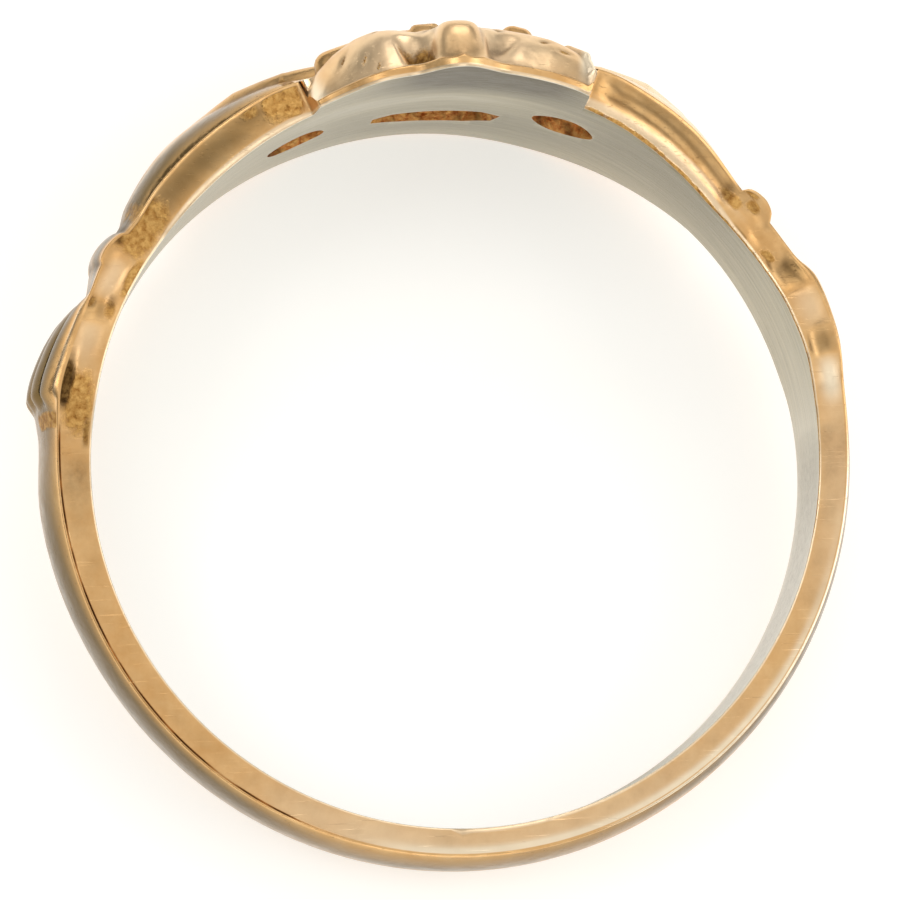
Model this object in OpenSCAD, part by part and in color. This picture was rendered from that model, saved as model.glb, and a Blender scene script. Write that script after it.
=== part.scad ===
// Claddagh ring: one casting in yellow gold. A D-section shank carries two
// fluted cuffs and hands, a domed heart and a crown of three points. All in
// millimetres. The ring lies on its side, crown side up and head toward +Y,
// on the lower edge of the head and the back of the shank.

/* [Size] */
// Inside radius of the finger hole
bore_r = 9.1; // [7.8:0.1:10.6]
// Width of the shank, as a share of the photographed ring's
width_share = 1; // [0.8:0.05:1.25]
// Height of all relief above its ground
relief_share = 1; // [0.6:0.05:1.2]

/* [Head] */
// Rise of the heart's dome
heart_rise = 1.0; // [0.4:0.05:1.2]
// Rise of the fingers and thumbs
finger_rise = 0.52; // [0.3:0.02:0.8]
// Width of a finger
finger_w = 0.56; // [0.4:0.02:0.7]
// Thickness of the crown's plate between its points
crown_plate = 0.36; // [0.3:0.02:0.6]
// Rise of the crown's points
crown_rise = 0.62; // [0.3:0.02:0.9]

/* [Cuffs] */
// Flutes across a cuff
flutes = 5; // [3:1:7]
// Rise of a flute
flute_rise = 0.2; // [0.1:0.02:0.35]

/* [Hidden] */
$fn = 96;
rs = relief_share;
bevel = 0.07;          // polished edge along the finger hole

// The band, by angle from the middle of the head: angle, half width toward
// the crown and toward the point, then height of the flat side and of the crest
// on the right of the head and on its left
band = [
    [  0, 3.36, 3.50, 0.80, 0.92, 0.80, 0.92],
    [ 16, 3.36, 3.52, 0.84, 0.96, 0.84, 0.96],
    [ 23, 3.22, 3.34, 1.08, 1.26, 0.92, 1.34],
    [ 30, 2.92, 3.02, 1.02, 1.50, 0.88, 1.56],
    [ 39, 2.26, 2.56, 1.02, 1.44, 0.84, 1.62],
    [ 48, 1.66, 2.04, 0.92, 1.02, 0.80, 1.32],
    [ 51, 1.64, 1.97, 0.88, 0.94, 0.84, 1.12],
    [ 57, 1.76, 1.90, 0.86, 0.94, 0.96, 1.18],
    [ 62, 1.92, 1.88, 0.86, 0.94, 0.92, 0.94],
    [ 67, 2.12, 1.86, 0.96, 1.04, 0.90, 1.25],
    [ 72, 2.20, 1.82, 0.94, 1.08, 0.92, 1.42],
    [ 77, 2.20, 1.76, 0.90, 1.08, 0.96, 1.47],
    [ 83, 1.86, 1.56, 0.80, 0.98, 0.86, 1.22],
    [ 92, 1.60, 1.46, 0.76, 0.97, 0.80, 1.24],
    [120, 1.42, 1.40, 0.72, 0.96, 0.74, 1.06],
    [180, 1.29, 1.29, 0.70, 1.02, 0.70, 1.02]];
skew = 1.8;            // degrees the cuffs sit round from the head's middle

function row(a, i = 0) = i >= len(band) - 2 || a < band[i + 1][0] ? i : row(a, i + 1);

// column c of the band at angle a, on a smooth curve through the rows
function at(a, c) =
    let (n = len(band) - 1, u = min(180, abs(a + skew * sin(abs(a)))), i = row(u),
         p = band[max(0, i - 1)], q = band[i], r = band[i + 1], s = band[min(n, i + 2)],
         d = r[0] - q[0], t = (u - q[0]) / d,
         m = i == 0 ? 0 : d * (r[c] - p[c]) / (r[0] - p[0]),
         k = i == n - 1 ? 0 : d * (s[c] - q[c]) / (s[0] - q[0]))
    (2 * t * t * t - 3 * t * t + 1) * q[c] + (t * t * t - 2 * t * t + t) * m
    + (3 * t * t - 2 * t * t * t) * r[c] + (t * t * t - t * t) * k;

function half(a, z = 1) = at(a, z > 0 ? 1 : 2) * width_share;
function smooth(x, a, b) = let (t = max(0, min(1, (x - a) / (b - a)))) t * t * (3 - 2 * t);
function sided(a, c) = let (r = smooth(a, -4, 4)) at(a, c) * r + at(a, c + 2) * (1 - r);
function side(a) = sided(a, 3);
function crest(a) = sided(a, 4);
function round_at(t, m) = m * t - skew * sin(t);  // where row t falls on side m
function angle(s) = s / bore_r * 180 / PI;         // arc at the finger hole, mm
function arc(a) = a * PI / 180 * bore_r;

// height of the band's outer face above the finger hole
function face(a, z) =
    let (f = min(1, abs(z) / half(a, z)), hand = smooth(abs(a), 18, 26) * (1 - smooth(abs(a), 46, 54)))
    side(a) + (crest(a) - side(a)) * pow(1 - pow(f, 2.2), 0.85 - 0.35 * hand);

// depth of the groove along the flat side of the right hand
function groove(a) = 0.15 * smooth(a, 22, 26) * (1 - smooth(a, 46, 51));

// how far the polished edge of the finger hole reaches up the side, and across
function edge(a) = lookup(a, [[-50, bevel], [-42, 0.18], [-26, 0.18], [-22, bevel],
                              [21, bevel], [24, 0.32], [40, 0.32], [52, bevel]]);

// a place on the ring: arc s, across z, height h above the finger hole
function on_ring(s, z, h) =
    let (a = angle(s)) [(bore_r + h) * sin(a), (bore_r + h) * cos(a), z];

function skin(rows, n, loop = false) = [
    for (i = [0 : rows - (loop ? 1 : 2)], j = [0 : n - 1])
        let (k = (i + 1) % rows, m = (j + 1) % n)
        each [[i * n + j, k * n + m, i * n + m], [i * n + j, k * n + j, k * n + m]]];

function turned(faces) = [for (f = faces) [for (i = [len(f) - 1 : -1 : 0]) f[i]]];

// The shank, cuffs and palms: the D section carried round the finger.
module band_body() {
    stations = concat([for (a = [-90 : 3 : 90]) a], [for (a = [96 : 6 : 264]) a]);
    across = [-1, -0.94, -0.78, -0.52, 0, 0.52, 0.78, 0.94, 1];
    in = 0.3;
    function section(a) = let (h = half(a), g = half(a, -1), e = edge(a), d = 0.4 * e + 0.042) concat(
        [[-in, bevel + in - g], [bevel, -g]],
        [for (f = across) let (z = f * (f < 0 ? g : h)) [abs(f) == 1 ? side(a) : face(a, z), z]],
        [[0.68 * side(a), h - groove(a)], [e, h], [-in, h - d - in * d / e]]);
    pts = [for (a = stations)
        for (p = section(a > 180 ? a - 360 : a)) on_ring(arc(a), p[1], p[0])];
    polyhedron(pts, skin(len(stations), len(across) + 5, true));
}

// A pillow of relief: an outline in arc and width, swelling from the ground
// to its middle. ground = undef follows the band's own face.
module pillow(outline, rise, middle, ground = undef, sink = 0.3, edge = 0.55, steps = 1) {
    n = len(outline);
    crown_of = steps > 1 ? [[0.86, 0.5], [0.6, 0.84]] : [[0.7, 0.74]];
    rings = concat([[1, -sink], [0.97, edge * rise]],
        [for (c = crown_of) [c[0], rise * (edge + (1 - edge) * c[1])]]);
    function lift(s, z, h) = on_ring(s, z, (ground == undef ? face(angle(s), z) : ground) + h);
    pts = concat(
        [for (r = rings, p = outline)
            let (q = middle + (p - middle) * r[0]) lift(q[0], q[1], r[1])],
        [lift(middle[0], middle[1], rise), lift(middle[0], middle[1], -sink)]);
    top = len(rings) * n;
    polyhedron(pts, turned(concat(skin(len(rings), n),
        [for (j = [0 : n - 1]) [top - n + j, top, top - n + (j + 1) % n]],
        [for (j = [0 : n - 1]) [j, (j + 1) % n, top + 1]])));
}

// A rounded bar of relief along a path; rows are arc, across, half width
// and height of its top. Both ends are rounded off.
module ridge(path, sink = 0.4) {
    last = len(path) - 1;
    function way(i) = let (d = path[min(last, i + 1)] - path[max(0, i - 1)], v = [d[0], d[1]]) v / norm(v);
    function nose(i, m) = let (p = path[i], d = way(i) * m * p[2])
        [for (c = m < 0 ? [[0.95, 0.3, 0.62], [0.6, 0.75, 0.22]] : [[0.6, 0.75, 0.22], [0.95, 0.3, 0.62]])
            [p[0] + c[0] * d[0], p[1] + c[0] * d[1], c[1] * p[2], p[3] - c[2] * p[2], i]];
    rows = concat(nose(0, -1), [for (i = [0 : last]) concat(path[i], i)], nose(last, 1));
    turns = [-90, -50, 0, 50, 90];
    n = len(turns) + 2;
    function ring_of(r) = let (v = way(r[4]), k = [-v[1], v[0]] * r[2])
        concat([[r[0] - k[0], r[1] - k[1], r[3] - r[2] - sink]],
               [for (t = turns) [r[0] + k[0] * sin(t), r[1] + k[1] * sin(t), r[3] - r[2] * (1 - cos(t))]],
               [[r[0] + k[0], r[1] + k[1], r[3] - r[2] - sink]]);
    pts = concat([for (r = rows, p = ring_of(r)) on_ring(p[0], p[1], p[2])],
        [for (r = [rows[0], rows[len(rows) - 1]]) on_ring(r[0], r[1], r[3] - r[2] * 0.5)]);
    top = (len(rows) - 1) * n;
    polyhedron(pts, concat(skin(len(rows), n),
        [for (j = [0 : n - 1]) [top + j, top + n + 1, top + (j + 1) % n]],
        [for (j = [0 : n - 1]) [(j + 1) % n, top + n, j]]));
}

// outline of the heart: two round lobes, a cleft and a point
function heart_line(w, top, tip, n = 36) = [for (i = [0 : n - 1])
    let (t = 360 * i / n, x = pow(abs(sin(t)), 3) * (sin(t) < 0 ? -1 : 1),
         y = (13 * cos(t) - 5 * cos(2 * t) - 2 * cos(3 * t) - cos(4 * t) + 17) / 28.9)
    [-w * x, tip + (top - tip) * y]];

module heart() {
    pillow(heart_line(2.62, 2.25, -3.3), heart_rise * rs, [0, 0.1], edge = 0.5, steps = 2);
}

// One hand, on the side of positive arc: four fingers below, thumb above,
// dropped along the finger and lowered toward it.
module hand(drop, lower) {
    f = finger_w / 2;
    fingers = [ // palm end, tip (arc, across), height of the top at both
        [[5.3, -0.82], [2.72, -1.06], 1.72, 1.50], [[5.35, -1.36], [2.16, -1.64], 1.72, 1.44],
        [[5.2, -1.88], [1.66, -2.21], 1.66, 1.34], [[4.95, -2.36], [1.30, -2.78], 1.54, 1.22]];
    for (g = fingers)
        let (p = g[0] + [0, drop * 0.6], q = g[1] + [0, drop * 0.3], up = finger_rise - 0.42 - lower)
        ridge([for (t = [0, 0.35, 0.7, 1])
            let (m = p + (q - p) * t)
            [m[0], m[1] - 0.12 * sin(180 * t), f * (1.12 - 0.14 * t),
             up + (g[2] + (g[3] - g[2]) * pow(t, 1.4)) * rs]]);
    thumb = [[5.5, 1.2 + drop, 0.46, 1.74], [4.6, 1.74 + drop, 0.44, 1.78],
             [3.6, 2.1 + drop * 0.7, 0.38, 1.62], [2.75, 2.2 + drop * 0.4, 0.3, 1.44]];
    ridge([for (p = thumb) [p[0], p[1], p[2], (p[3] - lower) * rs]]);
}

// The wrist's fold and the fluted cuff with its scalloped end, on side m. The
// flutes rise toward their end on the left and die away on the right.
module cuff(m) {
    fold = m > 0 ? [53.2, 0.46, 0.30] : [55.0, 0.44, 0.13]; // table angle, half width, rise
    a = round_at(fold[0], m);
    ridge([for (f = [-0.88, -0.7, -0.35, 0, 0.35, 0.7, 0.88])
        let (z = f * half(a, f), taper = abs(f) > 0.8 ? 0.45 : 1)
        [arc(a), z, fold[1] * taper, face(a, z) + fold[2] * taper * rs]]);
    share = m > 0 ? [[61, 0.4], [66, 0.75], [74, 0.6], [78, 0.3]] : [[63, 0.55], [68, 0.8], [78, 1]];
    for (i = [0 : flutes - 1])
        let (f = flutes > 1 ? 2 * i / (flutes - 1) - 1 : 0)
        ridge([for (t = [62, 66, 70, 74, 77.5])
            let (a = round_at(t, m), w = 0.75 * (half(a) + half(a, -1)) / flutes, z = f * (half(a, f) - w))
            [arc(a), z, w, face(a, z) + flute_rise * rs * lookup(t, share)]]);
}

// The crown: a thin plate standing past the hands, with a base band, two
// lobes and a ball between them. The lip is the plate's outline, arc and width.
lip = [[-3.52, 3.85], [-3.3, 4.16], [-2.7, 4.5], [-2.1, 4.95], [-1.55, 5.12], [-0.8, 5.12], [-0.62, 5.4],
       [-0.35, 5.74], [0.1, 5.9], [0.55, 5.68], [0.95, 5.26], [1.5, 5.08], [2.5, 4.96], [3.2, 4.76], [3.42, 4.5]];

module crown() {
    plate = concat([[-3.42, 2.3], [3.38, 2.3]], [for (i = [len(lip) - 1 : -1 : 0]) lip[i]]);
    pillow(plate, 0.12, [0, 3.7], crown_plate - 0.12, sink = crown_plate + 0.2, edge = 0.5);
    ridge([for (x = [-2.6, -1.3, 0, 1.3, 2.6]) [x, 2.84 - 0.02 * x * x, 0.36, 0.94 + (0.6 - 0.012 * x * x) * rs]]);
    ridge([for (x = [1.48, 1.66]) [x, 2.74, 0.26, 1.1 + 0.6 * rs]]);
    for (m = [1, -1]) {
        lobe = [for (i = [0 : 19]) // a rounded box from the base band to the lip
            let (t = 18 * i, c = cos(t), q = pow(abs(sin(t)), 0.6),
                 x = m * 2.22 + 1.14 * sign(c) * pow(abs(c), 0.6))
            [x, t < 180 ? 3.9 + (lookup(x, lip) - 3.96) * q : 3.9 - 0.95 * q]];
        pillow(lobe, (crown_rise + (m > 0 ? 0.24 : 0.46)) * rs, [m * (m > 0 ? 2.2 : 1.8), 3.85],
               crown_plate - 0.02, 0.4, edge = 0.25, steps = 2);
    }
    ball = [for (i = [0 : 13]) [0.02 + 0.62 * cos(360 * i / 14), 4.88 + 0.8 * sin(360 * i / 14)]];
    pillow(ball, (crown_rise + 0.22) * rs, [0.02, 4.88], crown_plate - 0.02, 0.4, edge = 0.3, steps = 2);
    ridge([[0, 3.0, 0.5, 1.3], [0, 3.6, 0.36, 1.18], [0.02, 4.4, 0.34, 1.1]]);
}

// A straight-sided cutter through the head, from height a to height b.
module cutter(outline, a, b) {
    n = len(outline);
    pts = [for (h = [a, b], p = outline) on_ring(p[0], p[1], h)];
    polyhedron(pts, turned(concat(skin(2, n),
        [[for (j = [0 : n - 1]) j]], [[for (j = [0 : n - 1]) 2 * n - 1 - j]])));
}

function almond(x, z, w, h, lean, n = 14) = [for (i = [0 : n - 1])
    let (t = 360 * i / n, p = w * cos(t), q = h * sin(t) * (1 - 0.25 * pow(cos(t), 2)))
    [x + p * cos(lean) - q * sin(lean), z + p * sin(lean) + q * cos(lean)]];

// Openings between palms and heart, cut through, and the hollow behind the heart.
module openings() {
    cutter(almond(3.28, 0.42, 0.8, 0.82, -12), -1, 3);
    cutter(almond(-3.6, -0.34, 0.8, 0.78, -22), -1, 3);
    cutter([[-1.45, -1.1], [-0.7, -1.4], [0.1, -1.52], [0.9, -1.44], [1.55, -1.0], [1.7, -0.3],
            [1.2, -0.05], [0, -0.2], [-1.0, -0.28], [-1.45, -0.6]], -1, 0.95);
}

// Lean of the ring on the floor: the head is wider than the back.
rest = bore_r * cos(18);
lean = atan((half(-16, -1) - half(180)) / (rest + bore_r + side(180)));
lift = (bore_r + side(180)) * sin(lean) + half(180) * cos(lean);
middle = [0.245, -0.5]; // brings the middle of the outline over the origin

module ring() {
    color("gold")
    translate([middle[0], middle[1], lift]) rotate([lean, 0, 0])
    difference() {
        resize([0, 0, 0]) difference() {
            union() {
                band_body();
                heart();
                crown();
                for (m = [1, -1]) {
                    mirror([m < 0 ? 1 : 0, 0, 0]) hand(m > 0 ? 0.15 : -0.3, m > 0 ? 0.24 : 0.15);
                    cuff(m);
                }
            }
            openings();
        }
        cylinder(r = bore_r, h = 40, center = true);
    }
}

ring();
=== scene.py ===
# %% [markdown]
# # A cast gold claddagh ring
# The real ring is one casting in rosy yellow gold. A thin D-section shank widens into two fluted
# cuffs, the cuffs into a pair of hands, and the hands hold a domed heart under a crown. It lies on
# its side here, crown side up, and the camera looks down along the finger hole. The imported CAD
# model fixes place and size. Blender adds the fine relief of the casting, its rough hollows and
# the gold itself.

# %% Frame
import math
import bpy
import numpy as np
from mathutils import Matrix, Vector


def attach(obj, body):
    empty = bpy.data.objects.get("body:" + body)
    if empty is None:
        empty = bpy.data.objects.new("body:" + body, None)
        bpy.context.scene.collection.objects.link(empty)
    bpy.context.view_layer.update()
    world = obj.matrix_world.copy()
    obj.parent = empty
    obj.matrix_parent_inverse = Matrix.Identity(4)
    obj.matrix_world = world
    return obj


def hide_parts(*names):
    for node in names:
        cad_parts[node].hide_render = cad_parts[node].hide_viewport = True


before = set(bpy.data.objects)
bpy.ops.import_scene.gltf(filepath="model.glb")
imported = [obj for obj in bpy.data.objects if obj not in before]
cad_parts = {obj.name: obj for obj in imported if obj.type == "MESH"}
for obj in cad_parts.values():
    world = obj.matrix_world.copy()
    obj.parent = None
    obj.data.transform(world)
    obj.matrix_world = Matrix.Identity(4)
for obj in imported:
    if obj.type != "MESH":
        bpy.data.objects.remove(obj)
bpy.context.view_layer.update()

# %% [markdown]
# ## The ring unrolled
# A finger ring is easiest to draw flat, as a strip. Every place on it has three numbers in
# millimetres: **arc**, the way round along the finger hole, with 0 in the middle of the head;
# **rise**, the height above the finger hole's wall; and **across**, toward the crown when positive.
# At the end the strip is wrapped round the finger. The band's widths and heights come from a
# short table by angle, the same one as in the CAD model, on a smooth curve through its rows.

# %% The band's table
BORE_R = 9.1            # radius of the finger hole
MIDDLE = (0.245, -0.5)  # where the middle of the hole stands over the floor
SKEW = 1.8              # degrees that the cuffs sit round from the head's middle
BAND_COLUMNS = ("turn", "to_crown", "to_point", "side_right", "crest_right", "side_left", "crest_left")
BAND = np.array([
    [0, 3.36, 3.50, 0.80, 0.92, 0.80, 0.92], [16, 3.36, 3.52, 0.84, 0.96, 0.84, 0.96],
    [23, 3.22, 3.34, 1.08, 1.26, 0.92, 1.34], [30, 2.92, 3.02, 1.02, 1.50, 0.88, 1.56],
    [39, 2.26, 2.56, 1.02, 1.44, 0.84, 1.62], [48, 1.66, 2.04, 0.92, 1.02, 0.80, 1.32],
    [51, 1.64, 1.97, 0.88, 0.94, 0.84, 1.12], [57, 1.76, 1.90, 0.86, 0.94, 0.96, 1.18],
    [62, 1.92, 1.88, 0.86, 0.94, 0.92, 0.94], [67, 2.12, 1.86, 0.96, 1.04, 0.90, 1.25],
    [72, 2.20, 1.82, 0.94, 1.08, 0.92, 1.42], [77, 2.20, 1.76, 0.90, 1.08, 0.96, 1.47],
    [83, 1.86, 1.56, 0.80, 0.98, 0.86, 1.22], [92, 1.60, 1.46, 0.76, 0.97, 0.80, 1.24],
    [120, 1.42, 1.40, 0.72, 0.96, 0.74, 1.06], [180, 1.29, 1.29, 0.70, 1.02, 0.70, 1.02]])


def table_turn(turn):
    """The angle that a place on the ring has in the band's table."""
    return np.minimum(180, np.abs(turn + SKEW * np.sin(np.radians(np.abs(turn)))))


def band_at(turn, column):
    """One column of the band's table at these angles, in degrees."""
    x, y = BAND[:, 0], BAND[:, BAND_COLUMNS.index(column)]
    slope = np.zeros(len(x))
    slope[1:-1] = (y[2:] - y[:-2]) / (x[2:] - x[:-2])
    u = table_turn(turn)
    i = np.clip(np.searchsorted(x, u, side="right") - 1, 0, len(x) - 2)
    d = x[i + 1] - x[i]
    t = (u - x[i]) / d
    return ((2 * t**3 - 3 * t**2 + 1) * y[i] + (t**3 - 2 * t**2 + t) * d * slope[i]
            + (3 * t**2 - 2 * t**3) * y[i + 1] + (t**3 - t**2) * d * slope[i + 1])


def degrees_of(arc):
    return np.degrees(arc / BORE_R)


def arc_of(degrees):
    return np.radians(degrees) * BORE_R


def round_at(turn, side):
    """Arc where a table angle falls on one side of the ring."""
    return arc_of(side * turn - SKEW * np.sin(np.radians(turn)))


def step(x, low, high):
    """0 below low, 1 above high, smooth between."""
    t = np.clip((x - low) / (high - low), 0, 1)
    return t * t * (3 - 2 * t)


def band_height(turn, what):
    """Height of the band's side or crest, which differs on the two sides of the ring."""
    right = step(turn, -4, 4)
    return band_at(turn, what + "_left") * (1 - right) + band_at(turn, what + "_right") * right


def band_face(arc, across):
    """Height of the plain band: flat sides and a dome, rounder where the hands are."""
    turn = degrees_of(arc)
    half = np.where(across > 0, band_at(turn, "to_crown"), band_at(turn, "to_point"))
    f = np.minimum(1, np.abs(across) / half)
    side, crest = band_height(turn, "side"), band_height(turn, "crest")
    roundness = 0.85 - 0.35 * step(np.abs(turn), 18, 26) * (1 - step(np.abs(turn), 46, 54))
    return side + (crest - side) * (1 - f**2.2)**roundness


BACK_HALF, BACK_RISE = 1.29, 0.70       # the shank's half width and thickness at the back, where it rests
TOUCH_ROW, TOUCH_TURN = -16.0, 18       # where the head's lower edge rests: its row in the table, its angle
long_way = BORE_R * math.cos(math.radians(TOUCH_TURN)) + BORE_R + BACK_RISE
LEAN = math.atan((band_at(TOUCH_ROW, "to_point") - BACK_HALF) / long_way)
LIFT = (BORE_R + BACK_RISE) * math.sin(LEAN) + BACK_HALF * math.cos(LEAN)
print(f"the ring leans {math.degrees(LEAN):.2f} degrees and its middle is {LIFT:.3f} mm up")

# %% [markdown]
# ## Forms of the relief
# A caster's model is carved wax: each form swells from the ground with a soft root where it meets
# the next. Separate meshes pushed into each other would show hard seams, so the whole front is one
# height over the strip instead. Each form below gives its own height, and a smooth maximum joins
# them with a fillet of a few hundredths of a millimetre.

# %% Helpers for the forms
NOWHERE = -9.0  # a height that loses against every other


def smooth_max(a, b, root=0.06):
    """The higher of two heights, with a fillet where they meet."""
    t = np.clip(0.5 + 0.5 * (a - b) / root, 0, 1)
    return b + (a - b) * t + root * t * (1 - t)


def share_out(outline, middle, arc, across):
    """How far out each point lies, 0 in the middle and 1 on the outline, and the mm past it."""
    q = np.asarray(outline) - middle
    radius = np.interp(np.arctan2(across - middle[1], arc - middle[0]),
                       np.arctan2(q[:, 1], q[:, 0]), np.hypot(q[:, 0], q[:, 1]), period=2 * np.pi)
    out = np.hypot(arc - middle[0], across - middle[1])
    return out / radius, out - radius


def pillow(arc, across, ground, rise, outline, middle, edge=0.5, power=2.6, wall=5.0):
    """A swelling form: edge is the share of the rise that stands up at the outline."""
    f, past = share_out(outline, middle, arc, across)
    dome = (1 - np.minimum(1, f)**power)**0.55
    return ground + rise * (edge + (1 - edge) * dome) - wall * np.maximum(0, past)


def bar(arc, across, path, wall=4.0):
    """A half-round bar along a path of rows (arc, across, half width, top)."""
    best = np.full(np.shape(arc), NOWHERE)
    for p, q in zip(path[:-1], path[1:]):
        d = np.subtract(q[:2], p[:2])
        t = np.clip(((arc - p[0]) * d[0] + (across - p[1]) * d[1]) / (d @ d), 0, 1)
        off = np.hypot(arc - p[0] - t * d[0], across - p[1] - t * d[1])
        w = p[2] + (q[2] - p[2]) * t
        x = np.minimum(1, off / w)
        h = p[3] + (q[3] - p[3]) * t - w * (1 - np.sqrt(1 - x * x)) - wall * np.maximum(0, off - w)
        best = np.maximum(best, h)
    return best


# %% [markdown]
# ## Heart, hands and crown
# The heart is a dome with two lobes and a point. Four fingers and a thumb of each hand hold it,
# and a palm carries them. The crown's front is one swelling that stands past the hands: a lobe on
# each side, a broad ball between them, and a thin lip where it ends. Beside the ball are two
# scooped places with rough casting in them, because no tool reaches in there. Small pits are left
# all over it, and a base band with a bead runs along its foot.

# %% Heart
def heart_outline(width=2.62, top=2.25, tip=-3.3, n=160):
    t = np.linspace(0, 2 * np.pi, n, endpoint=False)
    y = (13 * np.cos(t) - 5 * np.cos(2 * t) - 2 * np.cos(3 * t) - np.cos(4 * t) + 17) / 28.9
    return np.stack([-width * np.sin(t)**3, tip + (top - tip) * y], 1)


def heart(arc, across, ground):
    return pillow(arc, across, ground, 1.02, heart_outline(), (0, 0.1), edge=0.45)


# %% Hands
FINGER_HALF, KNUCKLE = 0.28, 0.05  # a finger's half width, and how far its knuckle stands up
# Rows of a finger: its place at the palm and at the tip, and its top at the palm and at the tip.
FINGERS = [((5.30, -0.82), (2.72, -1.06), 1.72, 1.50), ((5.35, -1.36), (2.16, -1.64), 1.72, 1.44),
           ((5.20, -1.88), (1.66, -2.21), 1.66, 1.34), ((4.95, -2.36), (1.30, -2.78), 1.54, 1.22)]
# The thumb's path: arc, across, half width, top.
THUMB = [(5.5, 1.2, 0.46, 1.74), (4.6, 1.74, 0.44, 1.78), (3.6, 2.1, 0.38, 1.62), (2.75, 2.2, 0.3, 1.44)]


def hand(arc, across, drop, lower):
    """Fingers and thumb of the hand on the side of positive arc."""
    h = np.full(np.shape(arc), NOWHERE)
    for palm, tip, high, low in FINGERS:
        path = []
        for t in np.linspace(0, 1, 7):
            x, y = palm[0] + (tip[0] - palm[0]) * t, palm[1] + (tip[1] - palm[1]) * t
            y += drop * (0.6 - 0.3 * t) - 0.12 * math.sin(math.pi * t)
            knuckle = KNUCKLE * math.exp(-((t - 0.42) / 0.1)**2)
            top = 0.1 - lower + high + (low - high) * t**1.4 + knuckle
            path.append((x, y, FINGER_HALF * (1.12 - 0.14 * t), top))
        h = smooth_max(h, bar(arc, across, path), 0.03)
    thumb = [(x, y + drop * k, w, top - lower) for (x, y, w, top), k in zip(THUMB, (1, 1, 0.7, 0.4))]
    return smooth_max(h, bar(arc, across, thumb), 0.08)


# %% Crown
LIP = np.array([  # arc, across: the thin lip's outline along the finger hole
    [-3.50, 4.02], [-3.2, 4.22], [-2.9, 4.38], [-2.5, 4.66], [-2.16, 4.93], [-1.8, 5.10], [-1.3, 5.12],
    [-0.98, 5.08], [-0.72, 5.30], [-0.45, 5.62], [-0.1, 5.82], [0.2, 5.84], [0.5, 5.66], [0.8, 5.38],
    [1.1, 5.16], [1.6, 5.07], [2.5, 4.97], [3.1, 4.84], [3.24, 4.76], [3.38, 4.62]])
CROWN_TOPS = np.array([  # arc, how high the front swells there, and how far in from the lip it gets there
    [-3.52, 0.30, 0.9], [-3.44, 0.56, 1.0], [-3.3, 0.74, 1.1], [-3.0, 0.98, 1.2], [-2.6, 1.22, 1.3],
    [-2.1, 1.40, 1.3], [-1.6, 1.46, 1.2], [-1.2, 1.36, 1.1], [-0.8, 1.24, 1.2], [0.6, 1.24, 1.2],
    [1.0, 1.32, 1.3], [1.6, 1.30, 1.2], [2.2, 1.24, 1.0], [2.8, 1.10, 0.95], [3.1, 0.98, 0.9],
    [3.3, 0.78, 0.8], [3.40, 0.44, 0.7]])
LIP_THICK, SCOOP_FLOOR = 0.16, 0.14
# Scoops beside the ball: nearer and farther end, softness of the farther one, strength, how far in.
SCOOPS = [(-0.56, -1.22, 0.20, 1.0, 0.50), (0.66, 1.24, 0.34, 0.7, 0.60)]
# Pits: arc, across, half length, half width, depth. The last is a shallow, darkened place between left thumb
# and heart.
PITS = [(-2.50, 4.12, 0.13, 0.06, 0.06), (-2.10, 4.64, 0.12, 0.05, 0.04), (-1.86, 4.92, 0.09, 0.04, 0.03),
        (-1.62, 4.1, 0.20, 0.12, 0.03), (-0.56, 4.5, 0.14, 0.08, 0.06), (2.02, 4.42, 0.14, 0.07, 0.05),
        (2.5, 4.5, 0.18, 0.05, 0.04), (0.98, 4.35, 0.12, 0.14, 0.05), (-3.07, 1.3, 0.22, 0.55, 0.03)]
BALL, BALL_HALF = (0.02, 4.72), (0.60, 0.90)
# Bars: the fillet at the root, and a path of arc, across, half width and top.
BARS_UNDER = [
    (0.08, [(x, 2.84 - 0.02 * x * x, 0.36, 1.56 - 0.012 * x * x) for x in np.linspace(-2.6, 2.6, 9)]),  # base
    (0.04, [(2.66, 3.55, 0.16, 1.34), (3.0, 4.1, 0.13, 1.18), (3.26, 4.5, 0.10, 0.74)])]   # rim on the right
BARS_OVER = [
    (0.05, [(-0.9, 5.06, 0.10, 0.24), (-0.45, 5.48, 0.13, 0.32), (0.05, 5.68, 0.14, 0.36),
            (0.5, 5.5, 0.13, 0.33), (0.9, 5.2, 0.10, 0.26)]),         # thicker lip before the ball
    (0.06, [(1.48, 2.74, 0.26, 1.72), (1.66, 2.74, 0.26, 1.70)]),     # bead on the base band
    (0.04, [(-0.62, 2.9, 0.12, 1.66), (-0.24, 2.9, 0.12, 1.66)])]     # small ridge on it


def lip_edge(arc):
    """Where the lip ends: the table's outline, with its corners rounded."""
    return sum(np.interp(arc + d, LIP[:, 0], LIP[:, 1]) for d in np.linspace(-0.2, 0.2, 7)) / 7


def scoops(arc, across):
    """1 in the two scooped places beside the ball, 0 elsewhere."""
    inward = lip_edge(arc) - across
    total = np.zeros(np.broadcast(arc, across).shape)
    for start, end, soft, deep, back in SCOOPS:
        w = 1 - step(np.abs(arc), abs(end) - soft, abs(end) + soft)
        w = w * step(arc * np.sign(end), abs(start) - 0.08, abs(start) + 0.10)
        w = deep * w * step(inward, 0.05, 0.12) * (1 - step(inward, back - 0.1, back + 0.12))
        total = np.maximum(total, w)
    return total


def in_pit(arc, across, pit):
    """1 in the middle of a slanting pit, 0 away from it."""
    at, level, half_long, half_wide = pit[:4]
    return np.exp(-((arc - at) / half_long)**2 - ((across - level + 0.3 * (arc - at)) / half_wide)**2)


def ball_outline(n=40):
    """The ball from above: an oval with rather square shoulders."""
    t = np.linspace(0, 2 * np.pi, n, endpoint=False)
    square_cos, square_sin = (np.sign(v) * np.abs(v)**0.7 for v in (np.cos(t), np.sin(t)))
    return np.stack([BALL[0] + BALL_HALF[0] * square_cos, BALL[1] + BALL_HALF[1] * square_sin], 1)


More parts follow.
